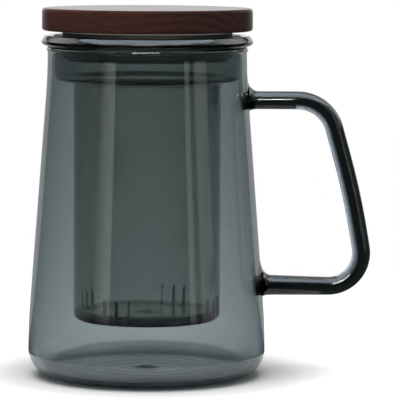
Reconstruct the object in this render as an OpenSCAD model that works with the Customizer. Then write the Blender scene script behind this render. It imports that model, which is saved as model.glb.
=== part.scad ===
// Lidded glass tea mug with a drop-in glass infuser and a turned wooden lid.
// Millimetres, +Z up. The origin is the middle of the base, on the mug's axis.
// The handle points along +X.

/* [Mug glass] */
// Height of the mug's rim above the table
mug_h = 128.2; // [118:0.1:145]
// Outside radius of the wall just under the rim
neck_r = 38.6; // [37:0.1:44]
// Largest outside radius, just above the rounded base corner
belly_r = 46.2; // [42:0.1:54]
// Height of the largest radius above the table
belly_z = 10.7; // [8:0.1:16]
// How far the rounded base corner reaches in along the radius
base_corner = 9.4; // [6:0.1:16]
// Thickness of the mug's wall
mug_wall = 2.3; // [1.6:0.1:3.2]
// Thickness of the glass in the base
floor_t = 2.4; // [2:0.1:6]
// Height of the small bump in the middle of the floor
bump_h = 0.9; // [0.2:0.1:2]
// Radius of the small bump in the middle of the floor
bump_r = 7; // [3:0.5:20]
// Radius of the rounded rim
rim_r = 1.1; // [0.8:0.05:1.2]
// How far the rounded rim stands proud of the wall's outside
rim_proud = 0.45; // [0.2:0.05:0.7]

/* [Handle] */
// Diameter of the glass rod in the upper bar and the side
rod_d = 7; // [5:0.1:9]
// Diameter of the rod where its lower bar meets the mug
rod_low_d = 7.8; // [5:0.1:9]
// Height of the upper bar's centre line
upper_z = 107.5; // [95:0.5:112]
// Height of the lower bar's centre line at the mug
lower_z = 35.3; // [26:0.5:45]
// How far the lower bar drops on its way out
lower_drop = 0.5; // [0:0.1:3]
// Distance from the wall to the upper corner of the rod's centre line
upper_reach = 30.3; // [26:0.1:40]
// Distance from the wall to the lower corner of the rod's centre line
lower_reach = 41.2; // [30:0.1:50]
// How far the rod's side bows outwards
side_bow = 1.9; // [1:0.1:4]
// Centre-line radius of the upper bend
upper_bend_r = 15; // [8:0.5:18]
// Centre-line radius of the lower bend
lower_bend_r = 13; // [8:0.5:18]
// Centre-line radius of the bowed side
side_bend_r = 280; // [150:10:320]
// How far the glass spreads around the rod where it is fused to the wall
weld_spread = 2; // [0.5:0.1:3]
// How far the spread glass runs along the rod
weld_l = 3.6; // [2:0.1:6]

/* [Infuser] */
// Length of the infuser from the top of its lip to its bottom
infuser_l = 110.5; // [80:0.5:114]
// Outside radius of the infuser's tube
tube_r = 28.6; // [20:0.1:30]
// Thickness of the infuser's wall
infuser_wall = 2; // [1.4:0.1:2.4]
// Thickness of the infuser's floor
infuser_floor = 2.6; // [1.5:0.1:4]
// Rounding of the infuser's bottom corner
tube_corner = 2.4; // [1.5:0.1:5]
// How far the wide collar hangs below the mug's rim
collar_l = 13.4; // [12:0.1:25]
// Rounding of the collar's lower corner
collar_corner = 3.2; // [2.5:0.1:3.4]
// Rounding of the step between collar and tube
step_r = 1.8; // [0.8:0.1:2.4]
// Outside radius of the infuser's rolled lip
lip_r = 41.1; // [40:0.1:45]
// Half the thickness of the rolled lip
lip_bead_r = 2; // [1.5:0.1:2.6]
// Depth of the rounded mouth inside the lip
mouth_l = 6; // [4:0.1:8]
// Clearance between the infuser and the mug's rim, beside it and under the lip
infuser_fit = 0.3; // [0.2:0.05:0.6]

/* [Slits] */
// Number of groups of slits around the infuser
slit_groups = 4; // [2:1:6]
// Number of slits in a group
slits_per_group = 3; // [1:1:5]
// Angle between two slits of a group
slit_pitch = 10.4; // [6:0.2:14]
// Angle of the first group, counted from the side away from the handle
slit_turn = 157; // [0:1:360]
// Width of a slit
slit_w = 0.7; // [0.4:0.05:1.2]
// Height of a slit above the infuser's bottom
slit_h = 10; // [6:0.5:20]
// How far a slit reaches in under the bottom from the outside of the tube
slit_reach = 6.6; // [4:0.2:10]
// Radius of the saw wheel that cuts the slits
saw_r = 15; // [13:0.5:40]

/* [Lid] */
// Radius of the wooden disc
lid_r = 40.8; // [38:0.1:48]
// Thickness of the wooden disc
lid_t = 9.2; // [5:0.1:16]
// Gap between the infuser's lip and the underside of the disc
lid_gap = 1.3; // [0.5:0.1:3]
// Rounding of the disc's upper edge
lid_top_round = 1.9; // [0.5:0.1:2.4]
// Rounding of the disc's lower edge
lid_low_round = 1.4; // [0.5:0.1:2.4]
// How far the plug reaches down below the disc
plug_l = 11; // [10:0.1:14]
// Thickness of the flange at the plug's end, under the seal
flange_t = 1.7; // [1:0.1:2.2]
// How far the flange stands out past the seal's groove
flange_lip = 1.6; // [0.6:0.1:2.6]

/* [Seal] */
// Radial thickness of the seal's band
seal_t = 2.9; // [1.5:0.1:5]
// Space between the seal's band and the collar, which the fins bridge
seal_space = 1.1; // [0.6:0.1:2]
// Number of thin sealing fins
fin_count = 2; // [1:1:2]
// Thickness of a fin at its root
fin_t = 0.9; // [0.5:0.1:1.1]
// Height from one fin to the next
fin_pitch = 2; // [1.4:0.1:2.2]
// Depth of the resting fin below the top of the infuser's lip
rest_depth = 2; // [1.2:0.1:2.4]
// Clearance between the seal's fins and the glass
seal_gap = 0.25; // [0.15:0.05:0.4]
// Running clearance between the seal and the wood
seal_fit = 0.05; // [0.02:0.01:0.1]

/* [Hidden] */
$fn = 96;
eps = 0.5;

// Rim of the mug: a bead around the centre (rim_cr, rim_cz). The wall's
// outside runs into it at the angle rim_a below the horizontal.
rim_cr = neck_r + rim_proud - rim_r;
rim_cz = mug_h - rim_r;
rim_a = acos((neck_r - rim_cr) / rim_r);
neck_z = rim_cz - rim_r * sin(rim_a);
mouth_r = min(neck_r - mug_wall, rim_cr - rim_r);

// Shares of the wall's height over which its straight taper starts and ends.
neck_share = 0.15;
belly_share = 0.14;

// Infuser: it hangs on the bead, so its collar and lip follow the mouth.
collar_r = mouth_r - infuser_fit;
collar_in = collar_r - infuser_wall;
tube_in = tube_r - infuser_wall;
seat_r = rim_cr - collar_r;
seat_z = mug_h + infuser_fit;
lip_cr = lip_r - lip_bead_r;
lip_cz = seat_z + lip_bead_r;
lip_z = lip_cz + lip_bead_r;
collar_z = mug_h - collar_l;
bottom_z = lip_z - infuser_l;
mouth_z = lip_z - mouth_l;

// Lid and seal: they follow the collar that they close.
disc_z = lip_z + lid_gap;
plug_z = disc_z - plug_l;
flange_z = plug_z + flange_t;
band_r = collar_in - seal_space;
band_in = band_r - seal_t;
groove_r = band_in - seal_fit;
flange_r = groove_r + flange_lip;
seal_low = flange_z + seal_fit;
seal_top = disc_z - seal_fit;
rest_z = lip_z - rest_depth;

// A share from 0 to 1 that starts and ends level, over the shares a and b.
function swell(t, a, b) =
    (t < a ? t * t / (2 * a)
    : t > 1 - b ? 1 - (a + b) / 2 - (1 - t) * (1 - t) / (2 * b)
    : t - a / 2) / (1 - (a + b) / 2);

// Outside radius of the mug's wall at height z, from the belly up to the neck.
function wall_r(z) =
    neck_r + (belly_r - neck_r)
    * swell((neck_z - z) / (neck_z - belly_z), neck_share, belly_share);

// Points of an elliptic arc in n steps, from angle a0 to angle a1.
function arc(cx, cy, rx, ry, a0, a1, n) =
    [for (i = [0:n]) let (a = a0 + (a1 - a0) * i / n)
        [cx + rx * cos(a), cy + ry * sin(a)]];

// Outside of the mug from its foot up to the neck.
function mug_outside() = concat(
    arc(belly_r - base_corner, belly_z, base_corner, belly_z, -90, 0, 9),
    [for (i = [1:14]) let (z = belly_z + (neck_z - belly_z) * i / 14)
        [wall_r(z), z]]);

// Inside of the mug from the neck down to the floor's bump.
function mug_inside() = concat(
    [for (i = [14:-1:1]) let (z = belly_z + (neck_z - belly_z) * i / 14)
        [wall_r(z) - mug_wall, z]],
    arc(belly_r - base_corner, belly_z,
        base_corner - mug_wall, belly_z - floor_t, 0, -90, 7),
    [for (i = [8:-1:0]) let (r = bump_r * i / 8)
        [r, floor_t + bump_h * (1 + cos(180 * r / bump_r)) / 2]]);

// The mug as one filled solid, used to trim what is fused to its wall.
module mug_outer_solid() {
    rotate_extrude()
        polygon(concat([[0, 0]], mug_outside(), [[0, neck_z]]));
}

module mug_body() {
    color("#5c6a6c")
        rotate_extrude()
            polygon(concat(
                [[0, 0]],
                mug_outside(),
                arc(rim_cr, rim_cz, rim_r, rim_r, -rim_a, 180, 12),
                mug_inside()));
}

// Corners of the handle's centre line in the XZ plane, from the upper weld
// round to the lower one.
upper_wall = wall_r(upper_z);
lower_wall = wall_r(lower_z);
upper_corner = [upper_wall + upper_reach, upper_z];
lower_corner = [lower_wall + lower_reach, lower_z - lower_drop];
side_way = (lower_corner - upper_corner) / norm(lower_corner - upper_corner);
side_corner = (upper_corner + lower_corner) / 2
    + side_bow * [-side_way[1], side_way[0]];
rod_path = [
    [upper_wall - mug_wall, upper_z],
    upper_corner,
    side_corner,
    lower_corner,
    [lower_wall - mug_wall, lower_z]];
rod_bends = [0, upper_bend_r, side_bend_r, lower_bend_r, 0];

function way(p, q) = (q - p) / norm(q - p);
function heading(v) = atan2(v[1], v[0]);
// Turn at corner i, clockwise positive, and how much of each side it takes.
function turn(i) =
    heading(way(rod_path[i - 1], rod_path[i]))
    - heading(way(rod_path[i], rod_path[i + 1]));
function turn_cw(i) = turn(i) < 0 ? turn(i) + 360 : turn(i);
function taken(i) = rod_bends[i] == 0 ? 0 : rod_bends[i] * tan(turn_cw(i) / 2);

// A straight stretch of rod from p to q in the XZ plane.
module rod_straight(p, q, d1, d2) {
    translate([p[0], 0, p[1]])
        rotate([0, 90 - heading(q - p), 0])
            cylinder(h = norm(q - p), d1 = d1, d2 = d2);
}

// The elbow at corner i, a piece of a ring around the bend's centre.
module rod_elbow(i) {
    w = way(rod_path[i - 1], rod_path[i]);
    start = rod_path[i] - taken(i) * w;
    centre = start + rod_bends[i] * [w[1], -w[0]];
    translate([centre[0], 0, centre[1]])
        rotate([90, 0, 0])
            rotate([0, 0, heading(start - centre) - turn_cw(i)])
                rotate_extrude(angle = turn_cw(i))
                    translate([rod_bends[i], 0])
                        circle(d = rod_d);
}

// Glass spread around the end of a bar, which runs out from the wall along +X.
module weld(x, z, d) {
    translate([x - eps, 0, z])
        rotate([0, 90, 0])
            rotate_extrude()
                polygon(concat(
                    [[0, 0], [d / 2 + weld_spread, 0]],
                    arc(d / 2 + weld_spread, weld_l + eps,
                        weld_spread, weld_l, 270, 180, 6),
                    [[0, weld_l + eps]]));
}

module handle() {
    last = len(rod_path) - 1;
    color("#1f2626")
        difference() {
            union() {
                for (i = [0:last - 1]) {
                    w = way(rod_path[i], rod_path[i + 1]);
                    rod_straight(
                        rod_path[i] + taken(i) * w,
                        rod_path[i + 1] - taken(i + 1) * w,
                        rod_d,
                        i == last - 1 ? rod_low_d : rod_d);
                }
                for (i = [1:last - 1])
                    rod_elbow(i);
                weld(upper_wall, upper_z, rod_d);
                weld(lower_wall, lower_z, rod_low_d);
            }
            mug_outer_solid();
        }
}

// Half section of the infuser, from the bottom up its outside, round the
// rolled lip and down its inside.
module infuser_section() {
    polygon(concat(
        [[0, bottom_z]],
        arc(tube_r - tube_corner, bottom_z + tube_corner,
            tube_corner, tube_corner, -90, 0, 6),
        arc(tube_r + step_r, collar_z - step_r, step_r, step_r, 180, 90, 5),
        arc(collar_r - collar_corner, collar_z + collar_corner,
            collar_corner, collar_corner, -90, 0, 7),
        arc(rim_cr, seat_z - seat_r, seat_r, seat_r, 180, 90, 6),
        arc(lip_cr, lip_cz, lip_bead_r, lip_bead_r, -90, 90, 12),
        arc(lip_cr, mouth_z, lip_cr - collar_in, mouth_l, 99, 180, 9),
        arc(collar_r - collar_corner, collar_z + collar_corner,
            collar_corner - infuser_wall, collar_corner - infuser_wall,
            0, -90, 4),
        arc(tube_r + step_r, collar_z - step_r,
            step_r + infuser_wall, step_r + infuser_wall, 90, 180, 7),
        arc(tube_in - tube_corner / 2, bottom_z + infuser_floor + tube_corner / 2,
            tube_corner / 2, tube_corner / 2, 0, -90, 5),
        [[0, bottom_z + infuser_floor]]));
}

// The saw wheel's cut runs through these two points of the half section.
saw_top = [tube_r, bottom_z + slit_h];
saw_end = [tube_r - slit_reach, bottom_z];
saw_way = way(saw_end, saw_top);
saw_sag = sqrt(saw_r * saw_r - pow(norm(saw_top - saw_end) / 2, 2));
saw_c = (saw_top + saw_end) / 2 + saw_sag * [saw_way[1], -saw_way[0]];

// One slit, sawn across the bottom corner of the tube on its +X side.
module slit() {
    translate([saw_c[0], 0, saw_c[1]])
        rotate([90, 0, 0])
            cylinder(r = saw_r, h = slit_w, center = true);
}

module infuser() {
    color("#4d5a58")
        difference() {
            rotate_extrude()
                infuser_section();
            for (g = [0:slit_groups - 1])
                for (k = [0:slits_per_group - 1])
                    rotate([0, 0, 180 + slit_turn + 360 * g / slit_groups
                            + slit_pitch * (k - (slits_per_group - 1) / 2)])
                        slit();
        }
}

// Radius of the infuser's rounded mouth at height z.
function funnel_r(z) =
    lip_cr - (lip_cr - collar_in) * sqrt(1 - pow((z - mouth_z) / mouth_l, 2));

// A thin fin on the seal: its root is on the band and its tip is at radius r.
module fin(z, r) {
    polygon([
        [band_r - eps, z - fin_t / 2],
        [band_r, z - fin_t / 2],
        [r, z + fin_t / 10],
        [r, z + fin_t / 2],
        [band_r - eps, z + fin_t / 2]]);
}

module seal_ring() {
    color("#2f322e")
        rotate_extrude()
            union() {
                translate([band_in, seal_low])
                    square([seal_t, seal_top - seal_low]);
                for (k = [0:fin_count - 1])
                    fin(seal_low + fin_t + fin_pitch * k, collar_in - seal_gap);
                fin(rest_z, funnel_r(rest_z) - seal_gap);
            }
}

module lid() {
    edge = flange_t / 3;
    color("#4a2a20")
        rotate_extrude()
            polygon(concat(
                [[0, plug_z], [flange_r - edge, plug_z],
                 [flange_r, plug_z + edge],
                 [flange_r, flange_z], [groove_r, flange_z],
                 [groove_r, disc_z]],
                arc(lid_r - lid_low_round, disc_z + lid_low_round,
                    lid_low_round, lid_low_round, -90, 0, 5),
                arc(lid_r - lid_top_round, disc_z + lid_t - lid_top_round,
                    lid_top_round, lid_top_round, 0, 90, 7),
                [[0, disc_z + lid_t]]));
}

mug_body();
handle();
infuser();
seal_ring();
lid();
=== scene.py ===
"""A lidded glass tea mug with a drop-in infuser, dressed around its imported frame.

Lengths are in metres, +Z is up, the mug's axis is the Z axis and the handle
points along +X. MM turns the sizes of small details from millimetres.
"""

import math

import bmesh
import bpy
from bpy.props import (
    FloatProperty,
    FloatVectorProperty,
    IntProperty,
    PointerProperty,
    StringProperty,
)
from bpy.types import Operator, Panel, PropertyGroup
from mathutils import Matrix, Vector


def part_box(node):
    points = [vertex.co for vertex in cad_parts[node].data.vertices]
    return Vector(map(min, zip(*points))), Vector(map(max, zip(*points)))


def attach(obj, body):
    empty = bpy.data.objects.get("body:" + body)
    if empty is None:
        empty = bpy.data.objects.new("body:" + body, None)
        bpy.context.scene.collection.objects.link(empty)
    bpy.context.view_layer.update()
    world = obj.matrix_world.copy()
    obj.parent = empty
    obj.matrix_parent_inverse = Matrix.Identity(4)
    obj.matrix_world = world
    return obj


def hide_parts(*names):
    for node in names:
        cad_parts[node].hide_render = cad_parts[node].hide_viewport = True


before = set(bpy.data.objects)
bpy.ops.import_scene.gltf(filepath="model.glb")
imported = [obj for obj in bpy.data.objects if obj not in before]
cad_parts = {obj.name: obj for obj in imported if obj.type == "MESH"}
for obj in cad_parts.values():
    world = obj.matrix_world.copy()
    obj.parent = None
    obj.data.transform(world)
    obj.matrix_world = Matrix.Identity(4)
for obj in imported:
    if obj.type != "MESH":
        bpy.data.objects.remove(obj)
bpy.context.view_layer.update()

bl_info = {
    "name": "Glass Tea Mug",
    "version": (1, 0, 0),
    "blender": (4, 5, 0),
    "location": "View3D > Sidebar > Tea Mug",
    "description": "Models a lidded glass tea mug with a drop-in infuser",
    "category": "Object",
}

MM = 0.001
MUG_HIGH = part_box("mug_body")[1]
INFUSER_LOW, INFUSER_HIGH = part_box("infuser")
SEAL_LOW, SEAL_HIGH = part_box("seal_ring")
LID_LOW, LID_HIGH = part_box("lid")

# Steps of a full turn on a lathe, and sides of the handle's rod.
ROUND_STEPS = 192
ROD_SIDES = 48
# Steps along the walls and across the floors, fine enough for swells and ripples.
WALL_STEPS = 40
UNDERSIDE_STEPS = 24
FLOOR_STEPS = 72
TUBE_STEPS = 30
TUBE_BOTTOM_STEPS = 40
TUBE_FLOOR_STEPS = 60
# Steps of each bar of the handle and of its welds, and degrees of a step round its
# bends.
BAR_STEPS = 12
WELD_STEPS = 10
BEND_STEP = 3
# Vertices closer than this are one vertex.
MERGE = 0.002 * MM

WHITE = "#FFFFFF"


def length(name, default, description):
    """A length that a user may change, shown in the scene's units."""
    return FloatProperty(
        name=name, description=description, default=default, min=0.0,
        precision=5, subtype="DISTANCE", unit="LENGTH")


def colour(name, default, description):
    """A colour as a hex value, such as #4A2A20."""
    return StringProperty(name=name, description=description, default=default)


def degrees(name, default, description):
    """An angle that a user may change, given in degrees."""
    return FloatProperty(
        name=name, description=description, default=math.radians(default),
        subtype="ANGLE", unit="ROTATION")


def count(name, default, description):
    """A number of like details, at least one."""
    return IntProperty(name=name, description=description, default=default, min=1)


def factor(name, default, description):
    """A share from 0 to 1 that a user may change."""
    return FloatProperty(
        name=name, description=description, default=default, min=0.0, max=1.0,
        subtype="FACTOR")


class MugSizes(PropertyGroup):
    """Sizes of the mug's blown glass body."""

    height: length("Height", MUG_HIGH.z, "Height of the rim above the table")
    neck: length("Neck radius", 38.6 * MM, "Outside radius under the rim")
    belly: length("Belly radius", MUG_HIGH.x, "Largest outside radius")
    belly_z: length("Belly height", 10.7 * MM, "Height of the largest radius")
    corner: length("Base corner", 9.4 * MM, "Reach of the rounded base corner")
    wall: length("Wall", 2.3 * MM, "Thickness of the wall")
    floor: length("Base", 2.4 * MM, "Thickness of the glass in the base")
    inner_rise: length("Inner corner", 8.3 * MM, "Rise of the inner corner's curve")
    bump: length("Bump height", 1.3 * MM, "Height of the bump in the floor")
    bump_r: length("Bump radius", 7 * MM, "Radius of the bump in the floor")
    ripple: length("Ripple", 0.055 * MM, "Height of the rings that spinning left")
    ripple_pitch: length("Ripple pitch", 7 * MM, "From one ring to the next")
    hollow: length("Underside hollow", 0.5 * MM, "Rise of the base's middle")
    foot: length("Foot", 2 * MM, "Width of the flat ring that the mug stands on")
    rim: length("Rim radius", 1.1 * MM, "Radius of the rounded rim")
    rim_proud: length("Rim bead", 0.45 * MM, "How far the rim stands proud")


class HandleSizes(PropertyGroup):
    """Sizes of the bent glass rod."""

    rod: length("Rod", 7 * MM, "Diameter of the rod")
    rod_low: length("Rod at the foot", 7.8 * MM, "Diameter at the lower weld")
    upper_z: length("Upper bar", 107.5 * MM, "Height of the upper bar")
    lower_z: length("Lower bar", 35.3 * MM, "Height of the lower weld")
    drop: length("Drop", 0.5 * MM, "Drop of the lower bar on its way out")
    upper_reach: length("Upper reach", 30.3 * MM, "Wall to upper corner")
    lower_reach: length("Lower reach", 41.19 * MM, "Wall to lower corner")
    bow: length("Bow", 1.9 * MM, "Outward bow of the side")
    upper_bend: length("Upper bend", 15 * MM, "Centre-line radius")
    lower_bend: length("Lower bend", 13 * MM, "Centre-line radius")
    side_bend: length("Side bend", 280 * MM, "Centre-line radius")
    weld: length("Weld spread", 3.2 * MM, "Spread of the glass at the wall")
    weld_l: length("Weld length", 3.4 * MM, "Run of the spread glass")
    weld_rise: length("Weld rise", 2.2 * MM, "How far the weld was drawn up the wall")
    weld_in: length("Weld depth", 1.1 * MM, "How deep it is fused in the wall")


class InfuserSizes(PropertyGroup):
    """Sizes of the drop-in glass infuser."""

    bottom: length("Bottom", INFUSER_LOW.z, "Height of the bottom")
    top: length("Top", INFUSER_HIGH.z, "Height of the top of the lip")
    lip: length("Lip radius", INFUSER_HIGH.x, "Outside radius of the lip")
    bead: length("Lip bead", 2 * MM, "Half the thickness of the lip")
    tube: length("Tube radius", 28.6 * MM, "Outside radius of the tube")
    wall: length("Wall", 2 * MM, "Thickness of the wall")
    floor: length("Floor", 2.6 * MM, "Thickness of the floor")
    corner: length("Corner", 2.4 * MM, "Rounding of the bottom corner")
    inside: length("Inside corner", 2.2 * MM, "Rounding where wall and floor meet")
    bump: length("Bump height", 0.7 * MM, "Height of the bump in the floor")
    bump_r: length("Bump radius", 4.5 * MM, "Radius of the bump in the floor")
    collar_l: length("Collar", 13.4 * MM, "Depth of the collar under the rim")
    collar_corner: length("Collar corner", 3.2 * MM, "Rounding of the collar")
    step: length("Step", 1.8 * MM, "Rounding between collar and tube")
    mouth_l: length("Mouth", 6 * MM, "Depth of the rounded mouth")
    fit: length("Fit", 0.3 * MM, "Clearance to the mug's rim")
    slit_w: length("Slit width", 0.7 * MM, "Width of a sawn slit")
    slit_h: length("Slit height", 10 * MM, "Height of a slit")
    slit_reach: length("Slit reach", 6.6 * MM, "Reach under the bottom")
    saw: length("Saw radius", 15 * MM, "Radius of the saw wheel")
    slit_groups: count("Slit groups", 4, "Groups of slits")
    group_slits: count("Slits in a group", 3, "Slits in a group")
    slit_pitch: degrees("Slit pitch", 10.4, "Angle between two slits of a group")
    slit_turn: degrees("Slit turn", 337, "Angle of the first group from +X")


class LidSizes(PropertyGroup):
    """Sizes of the turned wooden lid and its silicone seal."""

    radius: length("Radius", LID_HIGH.x, "Radius of the disc")
    top: length("Top", LID_HIGH.z, "Height of the disc's top")
    thickness: length("Thickness", 8.7 * MM, "Thickness of the disc")
    top_round: length("Top edge", 1.3 * MM, "Rounding of the upper edge")
    low_round: length("Lower edge", 1.1 * MM, "Rounding of the lower edge")
    plug_z: length("Plug", LID_LOW.z, "Height of the plug's end")
    flange: length("Flange", 1.7 * MM, "Thickness of the plug's flange")
    flange_lip: length("Flange lip", 1.6 * MM, "Reach of the flange")
    seal_low: length("Seal low", SEAL_LOW.z, "Height of the seal's lower edge")
    seal_top: length("Seal top", SEAL_HIGH.z + 0.5 * MM, "Height of the seal's top")
    # Height of the seal's top band that carries a painted highlight.
    highlight_edge: length("Seal edge", 0.6 * MM, "Height of the edge that is dusted")
    band: length("Band radius", 32.9 * MM, "Outside radius of the seal's band")
    band_t: length("Band", 2.9 * MM, "Radial thickness of the seal's band")
    fin: length("Fin", 0.9 * MM, "Thickness of a sealing fin at its root")
    fin_pitch: length("Fin pitch", 2 * MM, "Height from one fin to the next")
    fin_gap: length("Fin gap", 0.25 * MM, "Clearance of the fins to the glass")
    seal_fit: length("Seal fit", 0.05 * MM, "Clearance of the seal to the wood")
    rest_depth: length("Rest depth", 2 * MM, "Resting fin below the glass lip")


class MugFinishes(PropertyGroup):
    """Colours of the materials."""

    body_glass: colour(
        "Body glass", "#C1C8CA", "White light after one wall of the body")
    body_neck: colour(
        "Body skin at the neck", "#DADADA", "What the skin passes at the neck")
    rod_glass: colour(
        "Rod glass", "#121616", "White light after the handle's rod")
    tube_glass: colour(
        "Infuser glass", "#C9D0CC", "White light after one wall of the infuser")
    # Painted shade: the sawn faces get a dark colour, so that the slits look black.
    shaded_ground_glass: colour(
        "Ground glass", "#2C302F", "Sawn faces of the slits")
    wood_light: colour("Early wood", "#3C1E16", "Walnut between the rings")
    wood_dark: colour("Late wood", "#1F0F0C", "Walnut in the rings")
    wood_pore: colour("Pores", "#150A08", "Pores of the walnut")
    silicone: colour("Silicone", "#343631", "Moulded silicone of the seal")
    # Painted highlight: the pale colour of the seal's top edge stands for light that the
    # edge catches.
    edge_highlight: colour("Seal edge", "#E8E0DA", "Upper edge of the seal, dusted with talc")


class StudioSettings(PropertyGroup):
    """Camera and light."""

    camera: FloatVectorProperty(
        name="Camera", description="Place of the camera", size=3,
        default=(20.96 * MM, -1.1, 175.2 * MM), subtype="XYZ", unit="LENGTH")
    tilt: degrees("Tilt", 5.554, "How far the camera looks down")
    roll: degrees("Roll", 0.28, "Roll of the camera about its view")
    lens: FloatProperty(
        name="Lens", description="Focal length on a 36 mm sensor",
        default=255.4 * MM, subtype="DISTANCE_CAMERA", unit="CAMERA")
    floor_glow: factor("Floor glow", 0.5, "Light that the white floor shows itself")
    lamp_colour: colour("Lamp colour", "#E2F2FF", "Overhead lamp as mirrored")
    room: factor("Room light", 0.2, "Soft light from all around")


SETTINGS = {
    "mug_sizes": MugSizes,
    "handle_sizes": HandleSizes,
    "infuser_sizes": InfuserSizes,
    "lid_sizes": LidSizes,
    "mug_finishes": MugFinishes,
    "mug_studio": StudioSettings,
}


# ---------------------------------------------------------------- modelling


def deselect_all():
    """Nothing is selected, so an operator acts on the next piece alone."""
    bpy.ops.object.select_all(action="DESELECT")


def arc(cx, cz, rx, rz, start, end, steps):
    """Points of an elliptic arc, from angle start to angle end in degrees."""
    points = []
    for i in range(steps + 1):
        angle = math.radians(start + (end - start) * i / steps)
        points.append((cx + rx * math.cos(angle), cz + rz * math.sin(angle)))
    return points


def name_piece(piece, name):
    """Names a piece and its mesh."""
    piece.name = name
    piece.data.name = name


def apply_place():
    """Puts the selected piece's place, turn and size into its mesh."""
    bpy.ops.object.transform_apply(location=True, rotation=True, scale=True)


def lathe(name, outline):
    """Turns a half section of (radius, height) points into a round piece."""
    deselect_all()
    bpy.ops.mesh.primitive_plane_add(size=MM)
    piece = bpy.context.object
    name_piece(piece, name)
    bpy.ops.object.mode_set(mode="EDIT")
    bpy.ops.mesh.merge(type="CENTER")
    bpy.ops.transform.translate(value=(outline[0][0], 0, outline[0][1]))
    for before, after in zip(outline, outline[1:]):
        step = (after[0] - before[0], 0, after[1] - before[1])
        bpy.ops.mesh.extrude_vertices_move(TRANSFORM_OT_translate={"value": step})
    bpy.ops.mesh.select_all(action="SELECT")
    bpy.ops.mesh.spin(
        steps=ROUND_STEPS, angle=math.tau, center=(0, 0, 0), axis=(0, 0, 1))
    bpy.ops.mesh.select_all(action="SELECT")
    bpy.ops.mesh.remove_doubles(threshold=MERGE)
    bpy.ops.mesh.normals_make_consistent(inside=False)
    bpy.ops.object.mode_set(mode="OBJECT")
    bpy.ops.object.shade_smooth()
    return piece


def place_piece(piece, body, node):
    """Lets a piece ride on its body, in its node's place."""
    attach(piece, body)
    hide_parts(node)


def finish_piece(piece, body, node, material):
    """Dresses a piece in one material and puts it in its node's place."""
    piece.data.materials.append(material)
    place_piece(piece, body, node)


def swell(t, a, b):
    """A share from 0 to 1 that starts level over a and ends level over b."""
    full = 1 - (a + b) / 2
    if t < a:
        return t * t / (2 * a) / full
    if t > 1 - b:
        return (full - (1 - t) ** 2 / (2 * b)) / full
    return (t - a / 2) / full


def rim_of(mug):
    """Centre of the rim's bead and the height where the wall runs into it."""
    centre_r = mug.neck + mug.rim_proud - mug.rim
    centre_z = mug.height - mug.rim
    angle = math.acos((mug.neck - centre_r) / mug.rim)
    return centre_r, centre_z, angle, centre_z - mug.rim * math.sin(angle)


# Shares of the wall's height over which its straight taper starts and ends.
NECK_SHARE = 0.15
BELLY_SHARE = 0.14


def wall_radius(mug, z):
    """Outside radius of the mug's wall at height z."""
    neck_z = rim_of(mug)[3]
    share = swell((neck_z - z) / (neck_z - mug.belly_z), NECK_SHARE, BELLY_SHARE)
    return mug.neck + (mug.belly - mug.neck) * share


def bulge(r, radius, height):
    """Height at r of a round swelling: height in its middle, none from radius on."""
    return height * (1 + math.cos(math.pi * min(r / radius, 1))) / 2


def mug_floor_z(mug, r):
    """Height of the mug's floor at r: its bump, and the rings that spinning left."""
    fade = math.sin(math.pi * r / (mug.belly - mug.corner))
    ring = math.sin(math.tau * r / mug.ripple_pitch)
    return mug.floor + bulge(r, mug.bump_r, mug.bump) + mug.ripple * fade * ring


def mug_outline(mug):
    """Half section of the body: underside, wall, rim, inside and floor."""
    centre_r, centre_z, angle, neck_z = rim_of(mug)
    corner_r = mug.belly - mug.corner
    foot_r = corner_r - mug.foot
    underside_rs = [foot_r * i / UNDERSIDE_STEPS for i in range(UNDERSIDE_STEPS + 1)]
    floor_rs = [corner_r * i / FLOOR_STEPS for i in range(FLOOR_STEPS)]
    wall_zs = [
        mug.belly_z + (neck_z - mug.belly_z) * i / WALL_STEPS
        for i in range(1, WALL_STEPS + 1)]
    inner_z = mug.floor + mug.inner_rise
    inner_r = wall_radius(mug, inner_z) - mug.wall
    return (
        [(r, bulge(r, foot_r, mug.hollow)) for r in underside_rs]
        + arc(corner_r, mug.belly_z, mug.corner, mug.belly_z, -90, 0, 24)
        + [(wall_radius(mug, z), z) for z in wall_zs]
        + arc(centre_r, centre_z, mug.rim, mug.rim,
              -math.degrees(angle), 180, 24)[1:]
        + [(wall_radius(mug, z) - mug.wall, z) for z in reversed(wall_zs)
           if z > inner_z + MM]
        + arc(corner_r, inner_z, inner_r - corner_r, mug.inner_rise, 0, -90, 30)
        + [(r, mug_floor_z(mug, r)) for r in reversed(floor_rs)])


def collar_radius(infuser, mug):
    """Outside radius of the infuser's collar, which drops into the mug's mouth."""
    return min(mug.neck - mug.wall, rim_of(mug)[0] - mug.rim) - infuser.fit


# The angle on the lip's bead at which its round outside turns into the bevel.
BEVEL_START = -12


def fire_polished_bevel(cx, cz, bead):
    """The nearly straight slope of the lip's upper outside, up to its top."""
    angle = math.radians(BEVEL_START)
    start = Vector((cx + bead * math.cos(angle), cz + bead * math.sin(angle)))
    # How far each step leans inwards, in degrees, and how long it is.
    leans = [2, 12, 18, 24, 27, 28, 30, 31, 33, 34, 36, 38, 42, 48, 58, 72, 86]
    runs = [0.1, 0.3, 0.4, 1, 1, 1, 1, 1, 1, 1, 1, 1, 0.8, 0.5, 0.4, 0.4, 0.3]
    steps = [
        run * Vector((-math.sin(math.radians(lean)), math.cos(math.radians(lean))))
        for lean, run in zip(leans, runs)]
    rise = sum(step.y for step in steps)
    scale = (cz + bead - start.y) / rise
    points = []
    for step in steps:
        start = start + step * scale
        points.append((start.x, start.y))
    return points


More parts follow.
